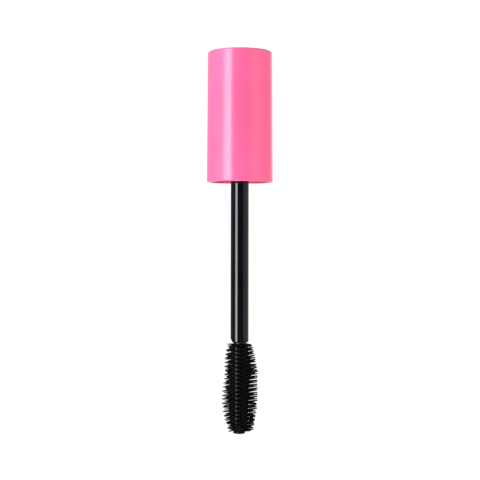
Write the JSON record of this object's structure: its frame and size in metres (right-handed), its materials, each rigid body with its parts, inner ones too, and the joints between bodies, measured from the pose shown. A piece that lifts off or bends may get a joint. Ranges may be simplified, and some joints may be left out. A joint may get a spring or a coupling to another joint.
{
  "type": "mascara cap with applicator wand",
  "caption": "Screw cap for a mascara bottle with a straight wand and a barrel-shaped brush of short tines, in pink and black plastic.",
  "frame": {"origin": "centre of the cap's rim plane, which meets the shoulder of the bottle it screws on", "axes": "+Z along the common axis, up from the brush through the cap; -Y is the front"},
  "size_m": [0.0176, 0.0176, 0.1017],
  "materials": {
    "cap_pink": "glossy moulded plastic, bright pink",
    "insert_black": "satin moulded plastic, black",
    "washer_foam": "fine closed-cell foam sheet, off-white",
    "wand_black": "glossy moulded plastic, black",
    "core_black": "satin moulded plastic, black",
    "bristle_black": "soft satin elastomer, black"
  },
  "bodies": {
    "root": {"outer_cap": "cap_pink", "inner_cap": "insert_black", "seal_washer": "washer_foam", "stem": "wand_black", "brush_core": "core_black", "brush_bristles": "bristle_black"}
  },
  "joints": []
}
